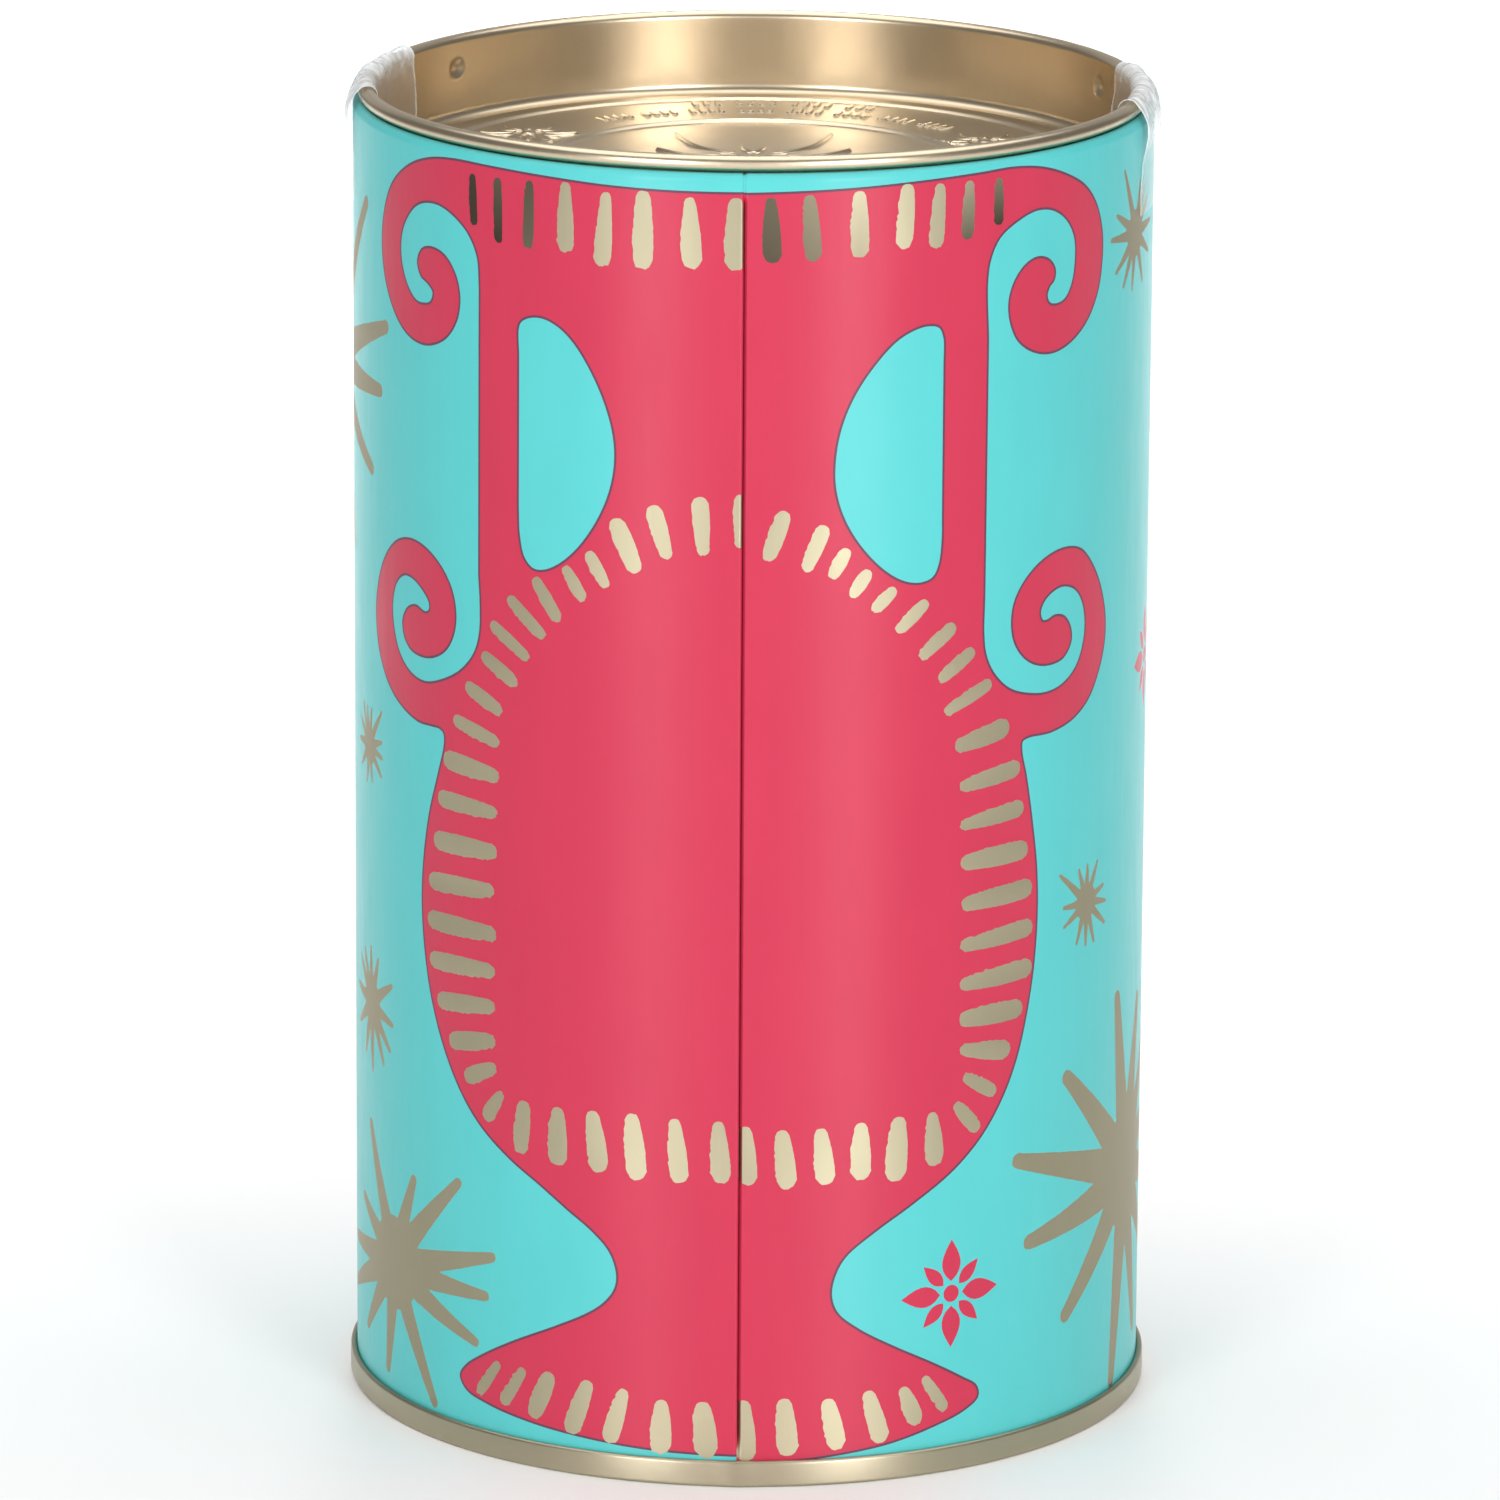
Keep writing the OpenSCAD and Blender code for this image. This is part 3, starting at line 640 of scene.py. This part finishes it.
PANEL_EDGE = 36.0
LID_DEPTH = 9.2                          # from the bead's top down to the flat round the step
LID_STEP_H = 0.4                         # how far the panel inside the step stands above that flat
PANEL_Z = LID_TOP - LID_DEPTH - SHEET / 2 + LID_STEP_H    # the middle of the panel's sheet
LID_FLAT_Z = PANEL_Z - LID_STEP_H
DIMPLES = [math.radians(23 + 120 * i) for i in range(3)]
DIMPLE_Z = 138.9
DIMPLE_DEPTH, DIMPLE_R = 0.42, 1.3
STAR_LEAVES = [(13, 3.2), (8, 2.6)]      # the middle star's leaves: length and width, by turns
ROSETTES = [(-24.2, 14.4), (24.8, 11)]   # the middles of the leaf rosettes beside it
ROSETTE_LEAVES = [(3.7, 1.2), (2.3, 1.0)]
TICK_ROWS = [(27.1, 19), (31.0, 8)]      # rows of short ridges: the inner radius, and how many to each side
TICK_MIDDLE, TICK_STEP = 84, 2.2         # the rows' middle from +X, and the ridges' pitch, in degrees
TICK_LENGTH = 1.9


def lid_pan(metal):
    """The lid outside its panel: the step, the wall with its dimples, and the curled rim bead."""
    path = [(PANEL_EDGE, PANEL_Z), (37.4, PANEL_Z)] + arc(37.8, PANEL_Z - 0.2, 0.2, 90, 20, 5)
    path += arc(38.3, LID_FLAT_Z + 0.2, 0.2, 200, 270, 5)
    path += arc(LID_WALL_R - 1.3, LID_FLAT_Z + 1.3, 1.3, -90, 0, 10)
    path += [(LID_WALL_R, z) for z in np.arange(136.9, 141.0, 0.25)]
    path += arc(BEAD_RING_R, BEAD_Z, BEAD_R - SHEET / 2, 180, -125, 36)
    spread = np.arange(-2.2, 2.21, 0.2) / LID_WALL_R
    angles = np.concatenate([even_angles()] + [d + spread for d in DIMPLES]) % (2 * math.pi)

    def dimpled(a, r, z):
        dent = 0
        for d in DIMPLES:
            across = ((a - d + math.pi) % (2 * math.pi) - math.pi) * LID_WALL_R
            away = np.hypot(across * 0.85, z - DIMPLE_Z)
            dent = dent + DIMPLE_DEPTH * (1 - ramp(away, 0.2, DIMPLE_R))
        return r + dent * (np.abs(r - LID_WALL_R) < 0.3) * (z < 141.2), z

    return revolve("lid_pan", ribbon(path), [metal], np.unique(angles.round(5)), warp=dimpled)


def embossing():
    """Rings of panel points: outline, height above the panel, and how far the sheet leans outward there."""
    rings = []

    def ridge(middle, height, flank, count):
        """A round ridge. Its flank holds, from the crest down: distance, height and lean."""
        inner = [(middle - away, h, -lean) for away, h, lean in flank[::-1]]
        outer = [(middle + away, h, lean) for away, h, lean in flank]
        for r, h, lean in inner + [(middle, height, 0)] + outer:
            rings.append((disc(0, 0, r, count), h, lean))

    def raised(p, h=0.35, edge=0.16):
        p = anticlockwise(p)
        rings.extend([(grown(p, edge), 0, 0), (p, h / 2, 0.97), (grown(p, -edge), h, 0)])

    ridge(22.5, 0.35, [(0.35, 0.3, 0.5), (0.65, 0.12, 0.6), (1, 0, 0)], count=128)
    ridge(34.85, 0.33, [(0.3, 0.28, 0.5), (0.55, 0.12, 0.6), (0.85, 0, 0)], count=160)
    raised(disc(0, 0, 3, 32))
    for i in range(12):
        raised(leaf(0, 0, 30 * i, *STAR_LEAVES[i % 2], start=4))
    for inner, count in TICK_ROWS:
        outer = inner + TICK_LENGTH
        for i in range(-count, count + 1):
            if i % 5 == 0:
                continue
            a = math.radians(TICK_MIDDLE + TICK_STEP * i)
            c, d = np.array([math.cos(a), math.sin(a)]), np.array([-math.sin(a), math.cos(a)])
            corners = ((inner, -0.3), (outer, -0.2), (outer, 0.2), (inner, 0.3))
            raised(np.array([c * r + d * w for r, w in corners]), h=0.3, edge=0.11)
    for x, y in ROSETTES:
        for i in range(12):
            raised(leaf(x, y, 30 * i, *ROSETTE_LEAVES[i % 2], start=1.6), h=0.3, edge=0.12)
        raised(disc(x, y, 0.8, 14), h=0.3, edge=0.12)
    return rings


def lid_panel(metal):
    """The embossed panel: the sheet's upper and lower faces, joined round the rim."""
    points, edges, heights, normals = [], [], [], []
    rim = even_angles()
    border = np.column_stack([PANEL_EDGE * np.cos(rim), PANEL_EDGE * np.sin(rim)])
    for p, h, lean in [(border, 0, 0)] + embossing():
        first = len(points)
        n = outward(anticlockwise(p)) if lean else np.zeros((len(p), 2))
        for k, (x, y) in enumerate(p):
            points.append(Vector((x, y)))
            edges.append((first + k, first + (k + 1) % len(p)))
            heights.append(h)
            flat = n[k] * lean
            normals.append((flat[0], flat[1], math.sqrt(1 - flat @ flat)))
    verts, _, tris, origin, _, _ = delaunay_2d_cdt(points, edges, [], 0, 1e-6)
    h = np.array([heights[o[0]] if o else 0 for o in origin])
    n = np.array([normals[o[0]] if o else (0, 0, 1) for o in origin])
    flat = np.array([(v.x, v.y) for v in verts])
    upper = np.column_stack([flat, PANEL_Z + SHEET / 2 + h])
    lower = np.column_stack([flat, PANEL_Z - SHEET / 2 + h])
    count = len(flat)
    faces = [tuple(t) for t in tris] + [tuple(count + i for i in t[::-1]) for t in tris]
    sides = {(t[i - 1], t[i]) for t in tris for i in range(3)}
    faces += [(b, a, count + a, count + b) for a, b in sides if (b, a) not in sides]
    return make("lid_panel", np.vstack([upper, lower]), faces, [metal], normals=np.vstack([n, -n]))


# ---------------------------------------------------------------- the film seals

FILM_W, FILM_T = 24, 0.06
FOLD_R = BEAD_R + 0.07
SPLIT = 40                               # where on the bead the lid's part of a seal ends, in degrees
SEALS = {"left": 172.5, "right": -1.0}   # where the middle of each seal is, in degrees from +X
STRAY = {"left": (-1.2, 0.0), "right": (0.0, 1.5)}    # how far the side edges stray at the inner end
STUCK_HAZE, BEAD_HAZE = 0.11, 0.51       # the film's milkiness where it sticks, and what the bead adds
STUCK_GAP, BEAD_GAP = 0.02, 0.3          # the same for how far it stands off
EDGE_HAZE, EDGE_FROM = 0.3, 0.975        # how milky its cut side edges are, and where they start


def film(name, turn, strip, seed, material):
    """Part of a strip of thin film round the rim.

    Its rows hold, along the strip: radius, height, the outward direction, the distance run, haze, how far
    it stands off, how near the inner end is, and how far its two side edges stray.
    """
    cols = 121
    grid, cloud = [], []
    for q in np.linspace(-0.5, 0.5, cols):
        u = q * FILM_W
        edge = abs(q) * 2
        column = []
        for r, z, nr, nz, run, haze, tent, low, stray_a, stray_b in strip:
            where = Vector((u * 0.32, run * 0.16, seed * 7.3))
            fold = noise.noise(where * 1.2) + 0.6 * abs(noise.noise(where * 3.1 + Vector((3, 1, 2))))
            along = Vector((u * 0.3 + run * 0.2, run * 0.12 - u * 0.05, seed))
            crease = 1 - min(1, abs(noise.noise(along)) * 7)
            lift = max(tent * (0.75 + 0.9 * fold - 0.25 * crease), -0.02)
            stray = (stray_a if q < 0 else stray_b) * edge
            side = noise.noise(Vector((run * 0.35, seed, 5.0))) * 0.5 * edge ** 6 * (1 if q > 0 else -1)
            column.append((r + nr * lift, z + nz * lift, math.radians(turn) + (u + side + stray) / BODY_R))
            rim = EDGE_HAZE * (edge > EDGE_FROM)
            clear = 1 - 0.75 * low * ramp(-q if stray_a else q, 0, 0.35)
            milk = haze * (0.75 + 0.5 * abs(fold)) + 0.25 * crease * min(1, tent * 2 + haze)
            cloud.append(milk * clear + rim)
        grid.append(column)
    g = np.array(grid)
    rows = len(strip)
    outer = np.stack([g[..., 0] * np.cos(g[..., 2]), g[..., 0] * np.sin(g[..., 2]), g[..., 1]], -1)
    du, dv = np.gradient(outer, axis=0), np.gradient(outer, axis=1)
    normal = np.cross(du, dv)
    normal /= np.linalg.norm(normal, axis=-1)[..., None]
    skins = np.stack([outer + normal * FILM_T / 2, outer - normal * FILM_T / 2])
    at = np.arange(cols * rows).reshape(cols, rows)
    half = cols * rows
    faces = []
    for i in range(cols - 1):
        for k in range(rows - 1):
            q = (at[i, k], at[i + 1, k], at[i + 1, k + 1], at[i, k + 1])
            faces += [q, tuple(half + x for x in q[::-1])]
    border = ([at[i, 0] for i in range(cols)] + [at[-1, k] for k in range(1, rows)]
              + [at[i, -1] for i in range(cols - 2, -1, -1)] + [at[0, k] for k in range(rows - 2, 0, -1)])
    for a, b in zip(border, border[1:] + border[:1]):
        faces.append((b, a, half + a, half + b))
    obj = make(name, skins.reshape(-1, 3), faces, [material], sharp=50)
    values = np.tile(np.clip(cloud, 0, 1), 2).astype(np.float32)
    obj.data.attributes.new("haze", "FLOAT", "POINT").data.foreach_set("value", values)
    return face_outward(obj)


def seal(side, seed, material):
    """Both parts of one seal: the leg inside the lid with the fold, and the outer leg that peels."""
    wall = BEAD_RING_R - FOLD_R
    inner = [(wall, z) for z in np.linspace(135.0, BEAD_Z - 0.3, 14)]
    inner += arc(BEAD_RING_R, BEAD_Z, FOLD_R, 180, SPLIT, 16)
    outer = curve([inner[-1], (42.3, 141.55), (42.85, 140.4), (43.05, 138.9), (42.9, 137.2), (42.72, 135.6),
                   (42.62, 133.8), (42.6, 132), (42.6, 130.5)], steps=6)
    p = np.vstack([inner, outer[1:]])
    d = np.gradient(p, axis=0)
    n = np.column_stack([-d[:, 1], d[:, 0]]) / np.linalg.norm(d, axis=1)[:, None]
    run = np.concatenate([[0], np.cumsum(np.linalg.norm(np.diff(p, axis=0), axis=1))])
    split = len(inner) - 1
    bead = ramp(run, 4.5, 8.5) * (1 - ramp(run, run[split] + 1, run[split] + 7))
    low = 1 - ramp(run, 2, 8)
    stray = STRAY[side]
    haze, tent = STUCK_HAZE + BEAD_HAZE * bead, STUCK_GAP + BEAD_GAP * bead
    strip = np.column_stack([p, n, run, haze, tent, low, stray[0] * low, stray[1] * low])
    film(f"{side}_seal_fold", SEALS[side], strip[:split + 1], seed, material)
    film(f"{side}_seal_leg", SEALS[side], strip[split:], seed, material)


# ---------------------------------------------------------------- materials

def shader(name, colour, metallic=0.0, roughness=0.3, **sockets):
    m = bpy.data.materials.new(name)
    m.use_nodes = True
    b = m.node_tree.nodes["Principled BSDF"]
    b.inputs["Base Color"].default_value = (*colour, 1)
    b.inputs["Metallic"].default_value = metallic
    b.inputs["Roughness"].default_value = roughness
    for k, v in sockets.items():
        b.inputs[k.replace("_", " ")].default_value = v
    return m, m.node_tree, b


def node(tree, kind, settings=None, **inputs):
    n = tree.nodes.new("ShaderNode" + kind)
    for k, v in (settings or {}).items():
        setattr(n, k, v)
    for k, v in inputs.items():
        k = int(k[1:]) if k[0] == "_" else k.replace("_", " ")
        if isinstance(v, bpy.types.NodeSocket):
            tree.links.new(v, n.inputs[k])
        else:
            n.inputs[k].default_value = v
    return n


def grain(tree, stretch, scale=1.0, detail=4.0, rough=0.6):
    """Noise in the piece's own coordinates, drawn out along one or two axes."""
    where = node(tree, "TexCoord").outputs["Object"]
    at = node(tree, "Mapping", Vector=where, Scale=[s * scale for s in stretch]).outputs["Vector"]
    return node(tree, "TexNoise", Vector=at, Scale=1.0, Detail=detail, Roughness=rough).outputs["Fac"]


def spread(tree, value, low, high, a=0.3, b=0.7):
    n = node(tree, "MapRange", Value=value, From_Min=a, From_Max=b, To_Min=low, To_Max=high)
    return n.outputs["Result"]


def tinted(tree, value, dark, light):
    mix = node(tree, "Mix", {"data_type": "RGBA"}, _0=value, _6=(*dark, 1), _7=(*light, 1))
    return mix.outputs[2]


def bump(tree, b, height, strength, distance):
    n = node(tree, "Bump", Height=height, Strength=strength, Distance=distance)
    tree.links.new(n.outputs["Normal"], b.inputs["Normal"])


def lacquer(name, colour, dark, roughness=0.38):
    """Printed ink under a clear varnish: nearly smooth, with a faint mottle and the texture of a roller."""
    m, t, b = shader(name, colour, 0.0, roughness, Coat_Weight=0.08, Coat_Roughness=0.15,
                     Specular_IOR_Level=0.24, Anisotropic=0.75, Anisotropic_Rotation=0.25)
    around = node(t, "Tangent", {"direction_type": "RADIAL", "axis": "Z"}).outputs["Tangent"]
    t.links.new(around, b.inputs["Tangent"])
    mottle = grain(t, (160, 160, 60), detail=3)
    t.links.new(tinted(t, spread(t, mottle, 0, 1), dark, colour), b.inputs["Base Color"])
    streaks = grain(t, (900, 900, 120))
    t.links.new(spread(t, streaks, roughness - 0.04, roughness + 0.06), b.inputs["Roughness"])
    bump(t, b, grain(t, (2600, 2600, 1800), detail=2), 0.06, 0.00005)
    return m


PAINTED_DARK_REFLECTION = (0.05, 0.035, 0.025)      # painted dark reflection: the colour painted on bare metal strokes where they would mirror the dark of the room


def tinplate(name, colour, dark, stretch, roughness=0.27, reflection_and_tone=False, rub=0.4, drawn=0.0):
    """Tinned steel under a gold lacquer, with the fine lines that rolling leaves."""
    m, t, b = shader(name, colour, 1.0, roughness, Anisotropic=drawn, Anisotropic_Rotation=0.25)
    if drawn:
        around = node(t, "Tangent", {"direction_type": "RADIAL", "axis": "Z"}).outputs["Tangent"]
        t.links.new(around, b.inputs["Tangent"])
    lines = grain(t, stretch, detail=5, rough=0.7)
    cloud = grain(t, (70, 70, 50), detail=3)
    half = node(t, "Math", {"operation": "MULTIPLY"}, _0=lines, _1=0.5).outputs[0]
    mixed = node(t, "Math", {"operation": "MULTIPLY_ADD"}, _0=cloud, _1=0.5, _2=half).outputs[0]
    shade = tinted(t, spread(t, mixed, 0, 1), dark, colour)
    # painted reflection: where the points say so, the metal is painted towards the dark reflection colour
    if reflection_and_tone:
        bright = node(t, "Attribute", {"attribute_name": "reflection_and_tone"}).outputs["Fac"]
        share = spread(t, bright, 0, 1, 0, 1.05)
        shade = node(t, "Mix", {"data_type": "RGBA"}, _0=share, _6=(*PAINTED_DARK_REFLECTION, 1), _7=shade).outputs[2]
    t.links.new(shade, b.inputs["Base Color"])
    t.links.new(spread(t, lines, roughness - 0.12 * rub, roughness + 0.2 * rub), b.inputs["Roughness"])
    bump(t, b, lines, rub, 0.00002)
    return m


def clear_film(name):
    """Clear tape: hardly there where it sticks, milky where it stands off or is creased."""
    m, t, b = shader(name, (0.93, 0.95, 0.96), 0.0, 0.14, IOR=1.45)
    haze = node(t, "Attribute", {"attribute_name": "haze"}).outputs["Fac"]
    fleck = spread(t, grain(t, (900, 900, 900), detail=4), 0.6, 1.3)
    uneven = node(t, "Math", {"operation": "MULTIPLY"}, _0=haze, _1=fleck).outputs[0]
    t.links.new(spread(t, uneven, 0.03, 0.92, 0.0, 1.0), b.inputs["Alpha"])
    bump(t, b, grain(t, (700, 700, 400), detail=3), 0.25, 0.0001)
    return m


inks = {
    "teal": lacquer("ink_teal", (0.090, 0.518, 0.518), (0.085, 0.500, 0.500)),
    "rose": lacquer("ink_rose", (0.522, 0.032, 0.074), (0.504, 0.030, 0.071)),
    "trap": lacquer("ink_trap", (0.13, 0.04, 0.08), (0.11, 0.04, 0.07)),
    "gold": tinplate("print_gold", (0.585, 0.535, 0.375), (0.525, 0.475, 0.33), (2200, 2200, 90),
                     roughness=0.55, reflection_and_tone=True, rub=0.2, drawn=0.6),
}
gold_lid = tinplate("lid_gold", (0.67, 0.56, 0.405), (0.64, 0.53, 0.38), (1500, 1500, 300),
                    roughness=0.30, rub=0.05)
# painted shade: the base ring has the lid's gold lacquer, painted darker to stand for the dark surroundings
# it mirrors low down
gold_base = tinplate("base_gold", (0.48, 0.43, 0.31), (0.43, 0.385, 0.275), (500, 500, 2600),
                     roughness=0.37, rub=0.15, drawn=0.7)
tape = clear_film("clear_film")
compound = shader("seam_compound", (0.26, 0.27, 0.26), 0.0, 0.7)[0]


# ---------------------------------------------------------------- the object

wall = printed_wall(inks)
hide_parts("body_shell")
lining = mouth_lining(gold_lid)
base = base_pan(gold_base)
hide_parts("base_end")
rim = lid_pan(gold_lid)
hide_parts("lid")
panel = lid_panel(gold_lid)
for piece, body in ((wall, "tin"), (lining, "tin"), (base, "tin"), (rim, "lid"), (panel, "lid")):
    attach(piece, body)
frame["nodes"]["seam_compound"].data.materials.clear()
frame["nodes"]["seam_compound"].data.materials.append(compound)

for number, side in enumerate(SEALS):
    seal(side, 1 + 3 * number, tape)
    fold, leg = bpy.data.objects[f"{side}_seal_fold"], bpy.data.objects[f"{side}_seal_leg"]
    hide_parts(f"{side}_seal_inner")
    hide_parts(f"{side}_seal_tab")
    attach(fold, "lid")
    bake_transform(leg)


# ---------------------------------------------------------------- stage, light and camera

scene = bpy.context.scene
scene.view_settings.view_transform = "Standard"


def floor(reach_out=4000):
    corners = [(x * reach_out, y * reach_out, 0) for x, y in ((-1, -1), (1, -1), (1, 1), (-1, 1))]
    white = shader("floor_white", (0.92, 0.92, 0.92), 0.0, 0.6)[0]
    make("floor", corners, [(0, 1, 2, 3)], [white], sharp=0)


def soft_box(name, azimuth, elevation, distance, width, height, power):
    """A soft light aimed at the tin's middle. Azimuth 0 is the camera's side, positive to the right."""
    light = bpy.data.lights.new(name, "AREA")
    light.shape, light.size, light.size_y, light.energy = "RECTANGLE", width, height, power
    obj = bpy.data.objects.new(name, light)
    a, e = math.radians(azimuth), math.radians(elevation)
    away = Vector((math.sin(a) * math.cos(e), -math.cos(a) * math.cos(e), math.sin(e)))
    obj.location = Vector((0, 0, 0.07)) + away * distance
    obj.rotation_euler = away.to_track_quat("Z", "Y").to_euler()
    scene.collection.objects.link(obj)


def floor_spot(name, place, target, cone, power):
    """A light that falls on the floor behind the tin and misses the tin."""
    light = bpy.data.lights.new(name, "SPOT")
    light.energy, light.spot_size = power, math.radians(cone)
    light.spot_blend, light.shadow_soft_size = 0.7, 0.2
    obj = bpy.data.objects.new(name, light)
    obj.location = place
    obj.rotation_euler = (Vector(place) - Vector(target)).to_track_quat("Z", "Y").to_euler()
    scene.collection.objects.link(obj)


floor()
soft_box("key_left", -28, 10, 1.2, 0.30, 0.8, 6.7)
soft_box("key_right", 28, 10, 1.2, 0.32, 0.8, 8.5)
soft_box("front", 0, 12, 1.3, 1.0, 0.8, 1.4)
soft_box("top", 180, 86, 1.4, 2.4, 1.5, 21)
soft_box("backdrop", 180, 20, 1.6, 2.8, 0.9, 2)
floor_spot("floor_light", (0, 1.0, 1.2), (0, 0.72, 0), 58, 70)
world = bpy.data.worlds.new("studio")
scene.world = world
world.use_nodes = True
world.node_tree.nodes["Background"].inputs["Color"].default_value = (1, 1, 1, 1)
world.node_tree.nodes["Background"].inputs["Strength"].default_value = 0.19

eye = (0, -1.0862, 0.3497)
tilt, roll = 0.2528, 0.0058              # in radians
ahead = Vector((0, math.cos(tilt), -math.sin(tilt)))
upright = Vector((0, math.sin(tilt), math.cos(tilt)))
across = Vector((1, 0, 0)) * math.cos(roll) + upright * math.sin(roll)
upright = upright * math.cos(roll) - Vector((1, 0, 0)) * math.sin(roll)
camera = bpy.data.objects.new("camera", bpy.data.cameras.new("camera"))
camera.data.lens, camera.data.sensor_width = 250, 36
camera.data.clip_start, camera.data.clip_end = 0.05, 50
facing = Matrix((across, upright, -ahead)).transposed().to_4x4()
camera.matrix_world = Matrix.Translation(eye) @ facing
scene.collection.objects.link(camera)
scene.camera = camera
